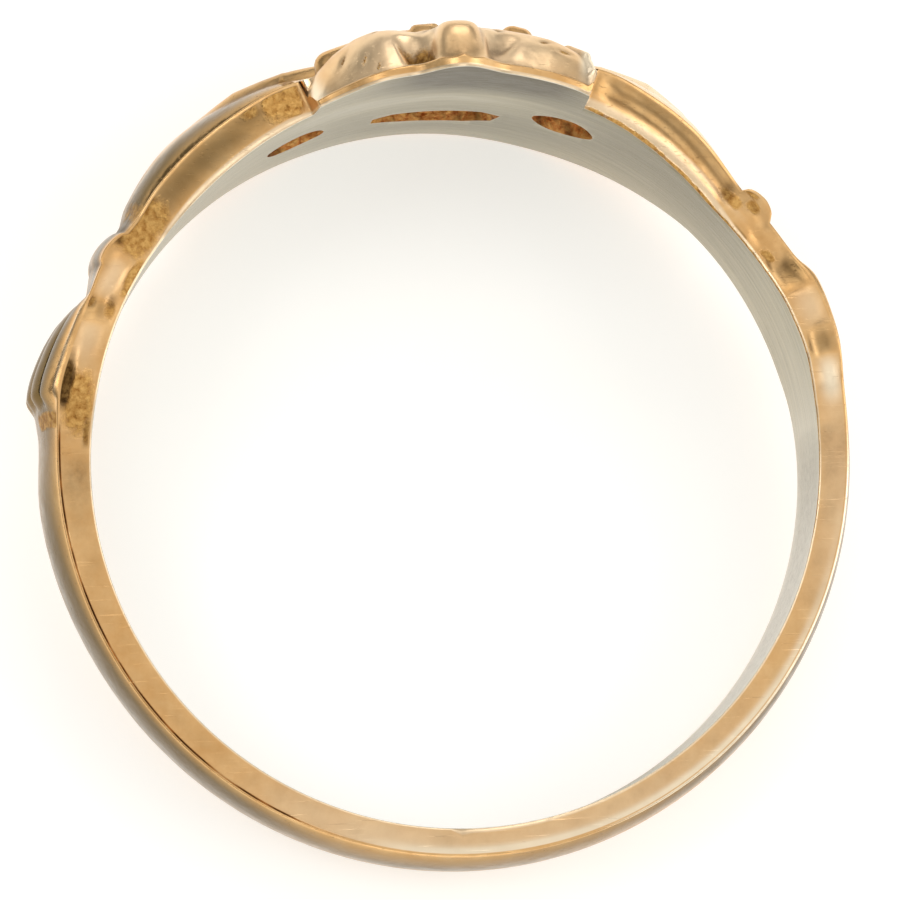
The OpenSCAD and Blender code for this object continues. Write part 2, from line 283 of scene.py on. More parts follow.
def crown(arc, across):
    """Height of the crown: one swelling front with a ball, scoops beside it, and a base band."""
    inward = np.maximum(0, lip_edge(arc) - across)
    top, reach = (np.interp(arc, CROWN_TOPS[:, 0], CROWN_TOPS[:, n]) for n in (1, 2))
    swell = 1 - (1 - np.minimum(1, inward / reach))**2.3
    h = LIP_THICK + (top - LIP_THICK) * swell - 1.2 * np.maximum(0, 3.15 - across)
    w = scoops(arc, across)
    h = h * (1 - w) + w * np.minimum(h, SCOOP_FLOOR + 0.45 * inward)
    for pit in PITS:
        h = h - pit[-1] * in_pit(arc, across, pit)
    for root, path in BARS_UNDER:
        h = smooth_max(h, bar(arc, across, path), root)
    h = smooth_max(h, pillow(arc, across, 0.30, 1.00, ball_outline(), BALL, edge=0.16, power=4.4), 0.08)
    for root, path in BARS_OVER:
        h = smooth_max(h, bar(arc, across, path), root)
    left, right = CROWN_TOPS[0, 0], CROWN_TOPS[-1, 0]  # steep walls beyond the ends, a slope at the foot
    return h - 8 * (np.maximum(0, left - arc) + np.maximum(0, arc - right)) - 6 * np.maximum(0, 2.5 - across)


# %% [markdown]
# ## Wrists and the whole front
# One fold of the sleeve crosses each wrist. The flutes of the cuffs are left out here: they repeat,
# so the node tree makes them further down.

# %% Front height
FOLDS = [(1, 53.2, 0.46, 0.30), (-1, 55.0, 0.44, 0.13)]  # side, turn, half width, rise
HANDS = [(1, 0.15, 0.24), (-1, -0.3, 0.15)]  # side, how far toward the crown, how much lower than drawn
SINK = 0.017  # the whole front lies this much lower, inside the faceted CAD model


def front(arc, across):
    """Height of the ring's outer face, without the flutes of the cuffs."""
    ground = band_face(arc, across)
    h = ground
    for side, turn, w, rise in FOLDS:
        off = np.abs(arc - round_at(turn, side))
        x = np.minimum(1, off / w)
        bump = ground + rise * np.sqrt(1 - x * x) - 3 * np.maximum(0, off - w)
        h = smooth_max(h, bump, 0.05)
    for side, drop, lower in HANDS:
        h = smooth_max(h, hand(side * arc, across, drop, lower), 0.06)
    h = smooth_max(h, heart(arc, across, ground), 0.05)
    past = across > band_at(degrees_of(arc), "to_crown")
    joined = smooth_max(np.where(past, -1, h), crown(arc, across), 0.06)
    return np.where(across > 2.2, joined, h) - SINK


# %% [markdown]
# ## Outline along the crown side
# The camera sees this edge end-on. It follows the hands, and between 22 degrees either side of the
# middle it follows the lip of the crown, with a short wall where the crown begins.

# %% Edges
CROWN_ENDS = (-3.45, 3.38)


def near_edge(arc):
    hands = band_at(degrees_of(arc), "to_crown")
    left, right = CROWN_ENDS
    inside = step(arc, left - 0.05, left + 0.05) * (1 - step(arc, right - 0.05, right + 0.05))
    return hands + (lip_edge(arc) - hands) * inside


def far_edge(arc):
    return -band_at(degrees_of(arc), "to_point")


# %% [markdown]
# ## Marks on the flat side
# The flat side toward the camera isn't plain. Smooth ovals and hollows stand at the wrists and
# cuffs, a groove runs along one hand, and rough casting is left where no file went. Each row of
# the table is one soft-edged patch; a cast below 0 is a patch filed smooth. Its dirt column also
# paints shade into slits, pits and recesses.

# %% Side marks
GROOVE_DEPTH, GROOVE_HALF = 0.12, 0.26  # the groove along the right hand
# Rows: turn and half of it, rise and half of it, outward in mm, rough casting, dirt and painted shade.
MARKS = [
    (-24.6, 4.4, 0.60, 0.55, 0.00, 0.9, 0.0),     # rough corner behind the crown
    (-29.8, 1.8, 0.78, 0.16, 0.00, 0.7, 0.3),
    (-51.6, 5.4, 0.58, 0.55, -0.02, 1.0, 0.22),   # rough patch behind the left hand
    (-48.2, 1.2, 0.80, 0.10, -0.02, 0.8, 0.4),
    (-54.9, 0.6, 0.92, 0.16, -0.05, 0.5, 0.8),
    (-59.0, 4.0, 0.14, 0.16, -0.02, 1.0, 0.14),
    (-60.5, 3.6, 0.58, 0.25, 0.06, -1.0, 0.0),    # smooth oval of the left wrist
    (-64.1, 0.6, 0.30, 0.12, -0.05, 0.3, 0.7),    # slit after it
    (-65.0, 1.0, 0.80, 0.11, -0.06, 0.9, 0.5),    # pit between the ovals
    (-65.2, 1.6, 0.30, 0.20, -0.02, 0.8, 0.1),
    (-69.6, 4.2, 0.54, 0.32, 0.05, -0.6, 0.0),    # smooth oval of the left cuff
    (-77.4, 3.5, 0.82, 0.14, -0.18, 1.0, 1.8),    # rough recess in the left cuff, painted dark with dirt and shade
    (-82.0, 2.6, 0.88, 0.05, -0.05, 0.6, 0.9),
    (-79.8, 5.4, 0.44, 0.40, -0.03, 1.0, 0.12),   # rough casting under it
    (-84.4, 2.2, 0.16, 0.10, -0.02, 0.8, 0.5),
    (50.0, 1.5, 1.02, 0.16, 0.02, 1.0, 0.3),      # rough burr of the right wrist
    (48.6, 2.2, 0.52, 0.20, -0.02, 0.9, 0.2),
    (51.6, 1.4, 0.78, 0.14, -0.03, 0.9, 0.3),
    (56.1, 3.2, 0.45, 0.26, 0.06, -0.5, 0.0),     # smooth oval of the right wrist
    (53.2, 1.1, 0.10, 0.05, -0.04, 0.3, 0.8),     # slits along the finger hole
    (58.8, 1.3, 0.24, 0.12, -0.02, 0.9, 0.25),
    (60.2, 1.2, 0.14, 0.05, -0.04, 0.3, 0.8),
    (62.5, 2.6, 0.56, 0.34, -0.10, 0.0, 0.0),     # saddle between wrist and cuff
    (65.3, 0.35, 0.40, 0.24, -0.02, 0.2, 0.45),
    (68.4, 3.0, 0.50, 0.36, 0.03, 0.0, 0.0),      # pale facet of the right cuff
    (71.6, 0.35, 0.60, 0.24, -0.02, 0.2, 0.5),
    (74.3, 2.1, 0.48, 0.26, -0.07, 0.0, 0.0),     # hollow in the right cuff
    (74.0, 1.6, 0.15, 0.05, -0.03, 0.3, 0.8),
    (78.9, 2.2, 0.40, 0.28, 0.04, 0.0, 0.0),      # bright swelling after it
]


def ripple(x, y, size, seed):
    """A smooth random unevenness of about -1 to 1, with waves of about this size."""
    rng = np.random.default_rng(seed)
    total = np.zeros(np.broadcast(x, y).shape)
    for _ in range(7):
        way, phase = rng.uniform(0, 2 * np.pi, 2)
        turns = rng.uniform(0.6, 1.4) * 2 * np.pi / size
        total += np.sin((x * np.cos(way) + y * np.sin(way)) * turns + phase)
    return total / 4


def side_field(turn, rise):
    """Outward offset in mm, rough casting, and dirt with painted shade on the flat side toward the crown."""
    out, cast, dark = np.zeros_like(rise), np.zeros_like(rise), np.zeros_like(rise)
    x = turn + 0.45 * ripple(turn / 6, rise, 0.7, 1)
    y = rise + 0.03 * ripple(turn / 6, rise, 0.7, 2)
    for t0, dt, r0, dr, push, c, d in MARKS:
        w = np.exp(-np.abs((x - t0) / dt)**3 - np.abs((y - r0) / dr)**3)
        out, dark = out + push * w, np.maximum(dark, np.minimum(1, d * w))
        cast = np.maximum(cast, c * w) if c > 0 else cast * (1 + c * w)
    on_right = step(turn, 22, 26) * (1 - step(turn, 46, 51))
    centre = np.interp(turn, (24, 36, 48), (0.66, 0.70, 0.56))
    out = out - GROOVE_DEPTH * on_right * np.exp(-((rise - centre) / GROOVE_HALF)**2)
    out = out + 0.006 * ripple(turn / 6, rise, 0.9, 3)
    return out, cast, dark


# %% [markdown]
# ## Rough places on the front
# Polishing reaches the open forms of the front and misses the rest: the scoops and pits of the
# crown, and the steps where a cuff or a wrist ends. Those places keep a little rough casting, and
# they are painted darker, partly as dirt and partly as the shade that falls in them; deeper pits
# are painted darker. They are soft patches too, and they take the scoops and pits from the crown's
# own tables, so the roughness can't slip off its hollow.

# %% Rough places on the front
# Rows: turn, half of it, strength, and how far toward the crown the patch begins.
FRONT_MARKS = [(-82.6, 1.3, 0.9, 0.3), (-50.5, 2.2, 0.5, 0.3), (51.2, 1.8, 1.0, 0.3),
               (-23.3, 0.8, 1.6, 1.9)]  # the last is in the notch where the crown begins


def front_marks(arc, across):
    """Rough casting, and dirt with painted shade, on the outer face: recesses of the crown, pits, ends of the
    cuffs.
    """
    w = scoops(arc, across) * (1 - 0.55 * step(arc, 0.4, 0.7))  # the right scoop is cleaner
    cast, dark = w, 0.03 * w
    for pit in PITS:
        w = in_pit(arc, across, pit)
        # deeper pits get more dirt and painted shade
        cast, dark = np.maximum(cast, 0.8 * w), np.maximum(dark, min(1.0, 12 * pit[-1]) * w)
    turn = degrees_of(arc)
    for at, half, much, low in FRONT_MARKS:
        w = np.minimum(1, much * np.exp(-((turn - at) / half)**4)) * step(across, low, low + 0.6)
        cast, dark = np.maximum(cast, w), np.maximum(dark, 0.4 * w)
    return cast, dark


# %% [markdown]
# ## Painted highlights and shade
# The gold's highlights and shade are partly painted into its colour. Standing places get painted
# highlights, while the domes on one side and the finger hole under the crown get painted shade,
# dull and olive. Each row below is one soft patch: a tone under 0 is painted shade, duller, and a
# tone over 0 a painted highlight, paler. A place is the rise on the side, the share of the half
# width on the front, and the across in the hole.

# %% Tones
# Rows: turn and half of it, place and half of it, tone: painted shade below 0, painted highlight above 0.
PAINTED_TONES = {
    "front": [
        (-122, 47, 0.62, 0.40, -1.1), (-122, 47, 0.02, 0.38, -0.75),  # dome of the left shank
        (-122, 47, 1.00, 0.04, 0.8), (-122, 47, -0.5, 0.4, -0.4),     # its rim and its far half
        (-38, 17, 0.78, 0.24, -0.95), (-38, 15, 0.15, 0.35, 0.6),     # left hand
        (-66, 17, 0.74, 0.26, -0.75), (-66, 17, 0.05, 0.45, -0.75),   # left wrist and cuff
        (-48, 7, 0.2, 0.5, -0.8), (-66, 16, 1.0, 0.08, 0.9),
        (178, 16, 0.72, 0.3, -0.3), (178, 20, 0.25, 0.3, -0.7),       # back of the shank
        (126, 44, 0.78, 0.36, -1.0), (36, 14, 0.80, 0.40, 0.7),       # right shank, right hand
        (-21.5, 1.8, 1.15, 0.30, 0.9), (19.9, 1.5, 1.30, 0.12, 1.3),  # ends of the crown
        (-2, 21, 1.38, 0.28, 0.5)],                                   # its lobes
    "side": [
        (96, 18, 0.45, 0.5, 0.25), (172, 24, 0.40, 0.5, 0.3),         # painted highlights on the sides
        (142, 14, 0.40, 0.5, 0.15), (140, 30, 0.62, 0.13, 1.0),
        (178, 15, 0.64, 0.17, 1.0), (-160, 14, 0.40, 0.5, 0.3),
        (-38, 15, 0.60, 0.38, -0.75), (-36, 15, 0.06, 0.10, 0.8),     # left hand and its edge
        (35, 14, 0.40, 0.10, 0.6), (36, 15.5, 0.76, 0.30, -0.5),      # right hand
        (30, 8, 0.42, 0.18, -0.4), (-66.2, 1.8, 0.62, 0.30, -0.6),
        (-60.5, 3.4, 0.58, 0.24, 0.4), (-69.8, 4.2, 0.56, 0.30, 0.3),  # smooth ovals
        (56.1, 3.0, 0.47, 0.22, -0.1), (68.4, 2.8, 0.50, 0.34, 0.35),
        (62.5, 2.4, 0.60, 0.34, -0.7), (74.3, 1.9, 0.52, 0.3, -0.55),  # saddles
        (79.6, 3.2, 0.47, 0.24, 0.9)],
    "bore": [
        (5, 15, 4.5, 1.9, -1.4), (38, 20, 1.5, 3.0, -0.5), (2, 22, -1.2, 1.6, -0.4),
        (-2, 20, 1.9, 0.6, 0.35), (118, 32, 0.0, 3.0, 1.0)]}


def tone_at(surface, turn, place):
    """Painted highlight and shade of a surface at these places, from its rows in the table."""
    total = np.zeros(np.broadcast(turn, place).shape)
    for t0, dt, p0, dp, tone in PAINTED_TONES[surface]:
        round_it = (turn - t0 + 180) % 360 - 180
        total = total + tone * np.exp(-np.abs(round_it / dt)**3 - np.abs((place - p0) / dp)**2.4)
    return np.clip(total, -1, 1)


# %% [markdown]
# ## The strip's lattice
# One closed lattice carries the whole casting: stations along the arc, and at each station a loop
# of points over the front, down the crown side, along the finger hole and up the point side.
# Stations are close where the relief is fine and far apart on the plain shank, so the mesh has
# fewer than 200,000 triangles.

# %% Stations
STATIONS = 560
HEAD_END, CUFF_END = 6.2, 13.8                   # arcs where the head and the cuffs end
AT_HEAD, AT_CUFF, AT_SHANK = 0.058, 0.075, 0.30  # mm between stations


def station_density(arc):
    a = np.abs(arc)
    d = np.where(a < HEAD_END, 1 / AT_HEAD, np.where(a < CUFF_END, 1 / AT_CUFF, 1 / AT_SHANK))
    for end in CROWN_ENDS:
        d = d + 35 * np.exp(-((arc - end) / 0.07)**2)
    return d


fine = np.linspace(-np.pi * BORE_R, np.pi * BORE_R, 40001)
share = np.cumsum(station_density(fine))
share = (share - share[0]) / (share[-1] - share[0])
arcs = np.interp(np.arange(STATIONS) / STATIONS, share, fine)
turns = degrees_of(arcs)
print(f"{STATIONS} stations, {np.diff(arcs).min():.3f} to {np.diff(arcs).max():.3f} mm apart")

# %% [markdown]
# ## Edges along the finger hole
# Where a file broke the sharp edge of the finger hole, a bevel runs, wide along one hand and
# barely there on the shank; a painted highlight makes it bright. On the shank the flat side also
# meets the dome in a fine line, which a scraper left and which is painted dark as shade. A bevel
# modifier gives one width all round, so the loops take both from short tables instead.

# %% Edges along the finger hole
BEVEL = np.array([  # turn, how far the polished edge reaches up the side, and across
    [-180, 0.14, 0.10], [-178.4, 0.20, 0.14], [-176.5, 0.06, 0.06], [-88, 0.06, 0.05], [-66, 0.07, 0.06],
    [-52, 0.08, 0.06], [-44, 0.20, 0.13], [-26, 0.22, 0.13], [-22.6, 0.14, 0.10], [-21.6, 0.09, 0.08],
    [-4, 0.10, 0.09], [20.6, 0.10, 0.09], [21.8, 0.34, 0.13], [36, 0.36, 0.14], [46, 0.28, 0.12],
    [52, 0.12, 0.09], [60, 0.09, 0.08], [76, 0.08, 0.07], [90, 0.06, 0.05], [150, 0.07, 0.05],
    [168, 0.12, 0.08], [180, 0.14, 0.10]])
CREASE = np.array([  # turn, depth of the fine line where the flat side meets the dome
    [-180, 0], [-166, 0], [-150, 0.05], [-88, 0.06], [-82, 0.0], [-66.5, 0.0], [-65, 0.04], [-63, 0.0],
    [-56, 0.0], [-54.5, 0.05], [-53, 0.0], [180, 0]])
bevel_rise = np.interp(turns, BEVEL[:, 0], BEVEL[:, 1])
bevel_depth = np.interp(turns, BEVEL[:, 0], BEVEL[:, 2])
crease = np.interp(turns, CREASE[:, 0], CREASE[:, 1])
crease = crease * (0.35 + 0.65 * step(ripple(arcs, 0 * arcs, 0.9, 31), -0.35, 0.15))  # it comes and goes
# The crease's dark line is painted shade.
crease_shade = step(crease, 0.012, 0.045)

# %% Loop at each station
FRONT_WIDE, FRONT_NEAR, SIDE_ROWS, BORE_ROWS = 60, 46, 18, 13
CORNER, FAR_BEVEL = 0.05, 0.07  # radii of the outer corners and of the edge on the point side
CLOSE_ROWS = 0.70               # mm along the crown side where the front's rows lie closer together
near, far = near_edge(arcs), far_edge(arcs)
joint = np.minimum(band_at(turns, "to_crown"), near) - CLOSE_ROWS
columns, rise_rows, feature = [], [], {"cast": [], "dark": [], "front": [], "tone": []}


def add_row(across, rise, cast=0.0, dark=0.0, face=0.0, tone=0.0):
    columns.append(across)
    rise_rows.append(np.broadcast_to(rise, arcs.shape))
    for key, value in (("cast", cast), ("dark", dark), ("front", face), ("tone", tone)):
        feature[key].append(np.broadcast_to(value, arcs.shape).astype(float))


def add_front_row(across):
    cast, dark = front_marks(arcs, across)
    # painted highlights and shade on the front
    tone = tone_at("front", turns, across / band_at(turns, "to_crown"))
    matt = step(across, 3.0, 3.6) * step(3.6 - np.abs(arcs), 0, 0.2)  # the crown is less polished
    add_row(across, front(arcs, across), cast, dark, face=1.0 - 0.75 * matt, tone=tone)


def quarter(n):
    """Inner angles of a quarter round in n steps."""
    return np.linspace(0, np.pi / 2, n + 1)[1:-1]


far_top = front(arcs, far + CORNER)
near_corner = np.minimum(CORNER, 0.3 * front(arcs, near - CORNER))
for t in np.linspace(0, 1, FRONT_WIDE, endpoint=False):
    add_front_row(far + CORNER + (joint - far - CORNER) * (1 - (1 - t)**1.15))
for t in np.linspace(0, 1, FRONT_NEAR):
    add_front_row(joint + (near - near_corner - joint) * (1 - (1 - t)**1.35))
near_top = rise_rows[-1]
painted_corner_highlight = step(turns, 84, 96) * (1 - step(turns, 150, 164))  # a painted highlight along the corner, on the right
for a in quarter(3)[::-1]:
    add_row(near - near_corner * (1 - math.cos(a)), near_top - near_corner * (1 - math.sin(a)),
            face=0.6, tone=painted_corner_highlight)
groove = np.minimum(0.05, 0.1 * near_top)
side_top = near_top - near_corner - groove
add_row(near, near_top - near_corner, dark=0.2 * crease_shade, tone=painted_corner_highlight)
add_row(near - crease, near_top - near_corner - 0.5 * groove, dark=0.95 * crease_shade)
bevel_rise = np.minimum(bevel_rise, 0.6 * side_top)
unpolished = 0.85 * step(turns, 18, 24) * (1 - step(turns, 96, 120))  # a fine brown line, on the right
left, right = CROWN_ENDS
off_crown = 1 - step(arcs, left - 0.2, left) * (1 - step(arcs, right, right + 0.2))
for t in np.linspace(1, 0, SIDE_ROWS):
    rise = bevel_rise + (side_top - bevel_rise) * t
    push, cast, dark = side_field(turns, rise)
    ease = min(1.0, 4 * t * (1 - t) + 0.15) if 0 < t < 1 else 0.0
    # painted highlights and shade on the flat side
    tone = tone_at("side", turns, rise) * off_crown
    add_row(near + push * ease * off_crown, rise, cast=cast * off_crown, dark=dark * off_crown, tone=tone)
# The bevel's rows carry a painted highlight, tone 0.6.
for a in quarter(5)[::-1]:
    add_row(near - bevel_depth * (1 - math.sin(a)), bevel_rise * (1 - math.cos(a)),
            cast=unpolished if a < 0.7 else 0.0, tone=0.6)
# painted highlights and shade in the finger hole
for t in np.linspace(0, 1, BORE_ROWS):
    row = near - bevel_depth + (far + FAR_BEVEL - near + bevel_depth) * t
    add_row(row, np.zeros_like(arcs), tone=tone_at("bore", turns, row))
for a in quarter(4):
    add_row(far + FAR_BEVEL * (1 - math.sin(a)), FAR_BEVEL * (1 - math.cos(a)))
for t in np.linspace(0, 1, 7):
    add_row(far, FAR_BEVEL + (far_top - CORNER - FAR_BEVEL) * t)
for a in quarter(3):
    add_row(far + CORNER * (1 - math.cos(a)), far_top - CORNER * (1 - math.sin(a)), face=0.6)

across, rise = np.stack(columns, 1), np.stack(rise_rows, 1)
arc = np.repeat(arcs[:, None], across.shape[1], 1)
loop = across.shape[1]
print(f"{loop} points in a loop, {STATIONS * loop * 2} triangles")

# %% [markdown]
# ## Cavities
# Polish never reaches the narrow roots between forms, so they stay rougher, and they are painted
# darker, partly as dirt and partly as the shade that falls in them.

# %% Wrapping, for measuring
def wrapped(arc, rise, across):
    """Places on the finger, in mm, before the ring leans on the floor."""
    a = arc / BORE_R
    return np.stack([(BORE_R + rise) * np.sin(a), (BORE_R + rise) * np.cos(a), across], -1)


def cavity(points):
    """0 on open ground to 1 in a tight root."""
    total = np.zeros(points.shape[:2])
    du = np.roll(points, -1, 0) - np.roll(points, 1, 0)
    dv = np.roll(points, -1, 1) - np.roll(points, 1, 1)
    n = np.cross(dv, du)
    n /= np.maximum(np.linalg.norm(n, axis=2, keepdims=True), 1e-9)
    for reach, depth in ((1, 0.006), (3, 0.035)):
        mean = sum(np.roll(points, k, axis) for axis in (0, 1) for k in (reach, -reach)) / 4
        total = np.maximum(total, np.clip(np.sum((mean - points) * n, 2) / depth, 0, 1))
    for _ in range(2):
        total = (total * 2 + sum(np.roll(total, k, axis) for axis in (0, 1) for k in (1, -1))) / 6
    return total


points = wrapped(arc, rise, across)
crown_walls = sum(np.exp(-((arc - end) / 0.18)**4) for end in CROWN_ENDS) * (across > 3.0) * (rise > 0)
hollow = cavity(points) * (1 - 0.8 * np.clip(crown_walls, 0, 1))
print("share of the lattice in cavities:", round(float((hollow > 0.3).mean()), 3))

# %% [markdown]
# ## The strip as a mesh
# Blender gets the strip as a flat mesh: arc along X, rise along Y and across along Z. Its
# attributes say, point by point, what the node tree and the gold need to know.

# %% Flat mesh
def flat_mesh(name, places, faces, attributes, cut):
    """An object in strip coordinates: named values for its points, and one number for its faces."""
    mesh = bpy.data.meshes.new(name)
    mesh.from_pydata(np.asarray(places, float).tolist(), [], faces)
    for key, values in attributes.items():
        values = np.asarray(values, np.float32).ravel()
        mesh.attributes.new(key, "FLOAT", "POINT").data.foreach_set("value", values)
    mesh.attributes.new("cut", "FLOAT", "FACE").data.foreach_set("value", [cut] * len(faces))
    mesh.validate()
    thing = bpy.data.objects.new(name, mesh)
    bpy.context.scene.collection.objects.link(thing)
    return thing


i, j = np.meshgrid(np.arange(STATIONS), np.arange(loop), indexing="ij")
k, m = (i + 1) % STATIONS, (j + 1) % loop
quads = np.stack([i * loop + j, i * loop + m, k * loop + m, k * loop + j], -1).reshape(-1, 4)
over = (across - far[:, None]) / (near - far)[:, None]
table_turns = table_turn(turns)
cuff_rise = np.where(turns < 0, 0.2 * np.interp(table_turns, (62, 80), (0.45, 1.0)),  # left, then right
                     np.interp(table_turns, (61, 66, 74, 78), (0.0, 0.13, 0.05, 0.0)))
ring = flat_mesh("gold_ring", np.stack([arc, rise, across], -1).reshape(-1, 3), quads.tolist(), {
    **{key: np.stack(rows, 1) for key, rows in feature.items()},
    "hollow": hollow, "over": np.clip(over, 0, 1),
    "cuff_turn": np.repeat(table_turns[:, None], loop, 1),
    "cuff_rise": np.repeat(cuff_rise[:, None], loop, 1)}, cut=0.0)
print(len(ring.data.vertices), "points in the strip")

# %% [markdown]
# ## Cutters for the openings
# The head is pierced on both sides of the heart, and the heart is hollow behind. The walls were
# never filed, so each cutter is a lofted plug with a wavy wall and a small flare at the finger
# hole, where the edge is worn. Its faces carry a mark of their own, which stays on the walls that
# they cut. The wave has a fixed seed.

# %% Outlines of the openings
def almond(arc0, across0, half_length, half_width, tilt, n=56):
    t = np.linspace(0, 2 * np.pi, n, endpoint=False)
    p = half_length * np.cos(t)
    q = half_width * np.sin(t) * (1 - 0.25 * np.cos(t)**2)
    c, s = math.cos(math.radians(tilt)), math.sin(math.radians(tilt))
    return np.stack([arc0 + p * c - q * s, across0 + p * s + q * c], 1)


BEHIND_HEART = [(-1.45, -1.1), (-0.7, -1.4), (0.1, -1.52), (0.9, -1.44), (1.55, -1.0), (1.7, -0.3),
                (1.2, -0.05), (0, -0.2), (-1.0, -0.28), (-1.45, -0.6)]
closed = np.array(BEHIND_HEART + BEHIND_HEART[:1])
along_it = np.linspace(0, len(BEHIND_HEART), 60, endpoint=False)
behind_heart = np.stack([np.interp(along_it, np.arange(len(closed)), closed[:, c]) for c in (0, 1)], 1)


# %% Lofted plugs
def plug(outline, layers, wave, seed):
    """Points and faces of a lofted plug; layers are rows of rise and scale."""
    rng = np.random.default_rng(seed)
    middle, n = outline.mean(0), len(outline)
    bumps = rng.normal(size=(len(layers), n))
    for _ in range(2):
        bumps = (bumps + np.roll(bumps, 1, 1) + np.roll(bumps, -1, 1)) / 3
    places, faces = [], []
    for row, (height, scale) in enumerate(layers):
        spread = (scale + wave * bumps[row] * (height > 0.1))[:, None]
        places += [(x, height, z) for x, z in middle + (outline - middle) * spread]
    for r in range(len(layers) - 1):
        faces += [(r * n + a, (r + 1) * n + a, (r + 1) * n + (a + 1) % n, r * n + (a + 1) % n)
                  for a in range(n)]
    top = (len(layers) - 1) * n
    faces += [tuple(range(n)), tuple(range(top, top + n))[::-1]]
    return places, faces


WAVE = 0.07  # how uneven the walls are, as a share of the opening's width
THROUGH = [(-1.0, 1.05), (-0.08, 1.07), (0.06, 1.0), (0.2, 0.96), (0.36, 0.97), (0.52, 1.0), (0.7, 1.02),
           (0.9, 1.05), (1.1, 1.1), (1.4, 1.15), (1.8, 1.2), (3.0, 1.25)]
BLIND = [(-1.0, 1.05), (-0.08, 1.06), (0.06, 1.0), (0.2, 0.97), (0.35, 0.93), (0.5, 0.87), (0.68, 0.79),
         (0.82, 0.62), (0.9, 0.35)]
OPENINGS = [  # outline, layers, seed
    (almond(3.28, 0.42, 0.80, 0.82, -12), THROUGH, 3), (almond(-3.6, -0.34, 0.80, 0.78, -22), THROUGH, 5),
    (behind_heart, BLIND, 8)]
places, faces = [], []
for outline, layers, seed in OPENINGS:
    p, f = plug(outline, layers, WAVE, seed)
    faces += [tuple(len(places) + v for v in face) for face in f]
    places += p
plugs = flat_mesh("plugs", places, faces, {}, cut=1.0)
print(len(OPENINGS), "cutters,", len(faces), "faces")

# %% [markdown]
# ## Gold
# The ring is 14 carat gold of a rosy yellow, cast in one piece. Its face was polished and has worn
# to a satin gloss with fine scratches, the flat sides are duller, and the finger hole is brushed
# round by wear and painted paler, nearly silver, as a painted reflection of its wall at grazing
# angles. Rough casting stays in the hollows, with old dirt and painted shade. Some highlights and
# shade are painted on the gold as well. Gold is a metal, so its colour is the colour of its
# reflections. Every pattern is drawn in the ring's own millimetres, so it stays with the metal when
# the ring is turned.

# %% Node helper and colours
def add(tree, kind, inputs=None, out=0, **settings):
    """Adds a node and returns one of its outputs.

    inputs maps a socket to a value, or to the output that feeds it."""
    node = tree.nodes.new(kind)
    for key, value in settings.items():
        setattr(node, key, value)
    for key, value in (inputs or {}).items():
        if isinstance(value, bpy.types.NodeSocket):
            tree.links.new(value, node.inputs[key])
        else:
            node.inputs[key].default_value = value
    return node.outputs[out] if len(node.outputs) else node


def srgb(code):
    """An sRGB hex colour as the linear colour that Blender's nodes take."""
    parts = [int(code[n:n + 2], 16) / 255 for n in (1, 3, 5)]
    return (*[c / 12.92 if c <= 0.04045 else ((c + 0.055) / 1.055)**2.4 for c in parts], 1.0)


# %% [markdown]
# ### Masks
# The strip's attributes tell the gold where it is cast, polished or hollow, where dirt and painted
# shade darken it, and where painted highlights and shade lie, and the cutters' faces where it was
# cut. The points that a cut adds have no attributes, so the finger hole is found by place instead:
# wherever the metal is as far from the axis as the hole's radius.

# %% Places and masks on the gold
gold = bpy.data.materials.new("gold_cast_and_polished")
gold.use_nodes = True
g = gold.node_tree
shader = g.nodes["Principled BSDF"]
shader.inputs["Metallic"].default_value = 1.0
in_ring = add(g, "ShaderNodeMapping", {"Vector": add(g, "ShaderNodeTexCoord", out="Object"),
              "Rotation": (-LEAN, 0, 0), "Scale": (1000, 1000, 1000)})
mask = {key: add(g, "ShaderNodeAttribute", attribute_name=key, out="Fac")
        for key in ("cast", "dark", "front", "hollow", "cut", "tone")}
axis_at = (MIDDLE[0], MIDDLE[1] * math.cos(LEAN) + LIFT * math.sin(LEAN), 0)
across_axis = add(g, "ShaderNodeVectorMath", {0: in_ring, 1: (1, 1, 0)}, operation="MULTIPLY")
from_axis = add(g, "ShaderNodeVectorMath", {0: across_axis, 1: axis_at}, out=1, operation="DISTANCE")
in_bore = add(g, "ShaderNodeMapRange", {"Value": from_axis, "From Min": BORE_R + 0.022,
              "From Max": BORE_R + 0.012})

# %% [markdown]
# ### Rough casting
# Where no file reached, the metal keeps the grain of the plaster mould: orange brown, speckled and
# matt. Its border is ragged, because the grain itself decides where the polish ends. That gives
# the eye the difference between worked and unworked metal. Noise scales are per millimetre, so the
# grain here is about 0.17 mm wide. The plaster's own is finer and would be lost at this size.

# %% Rough casting
COLOURS = {name: srgb(code) for name, code in {
    # The dark brown below paints old dirt and shade in the hollows.
    "cast low": "#AE7B3C", "cut low": "#BF7840", "cast high": "#DDB06A", "dirt_and_shade": "#33200E",
    # The dull and pale shades paint shade and highlights on the polish.
    "polish low": "#D8A76B", "polish high": "#EAC18A", "polish dull": "#705B38", "polish pale": "#FBE9CC",
    # The finger hole's greys are a painted reflection of its wall at grazing angles; its dull and pale shades
    # paint shade and highlights.
    "bore low": "#A29A82", "bore high": "#C3BAA1", "bore dull": "#5C523A", "bore pale": "#F4EFE4"}.items()}
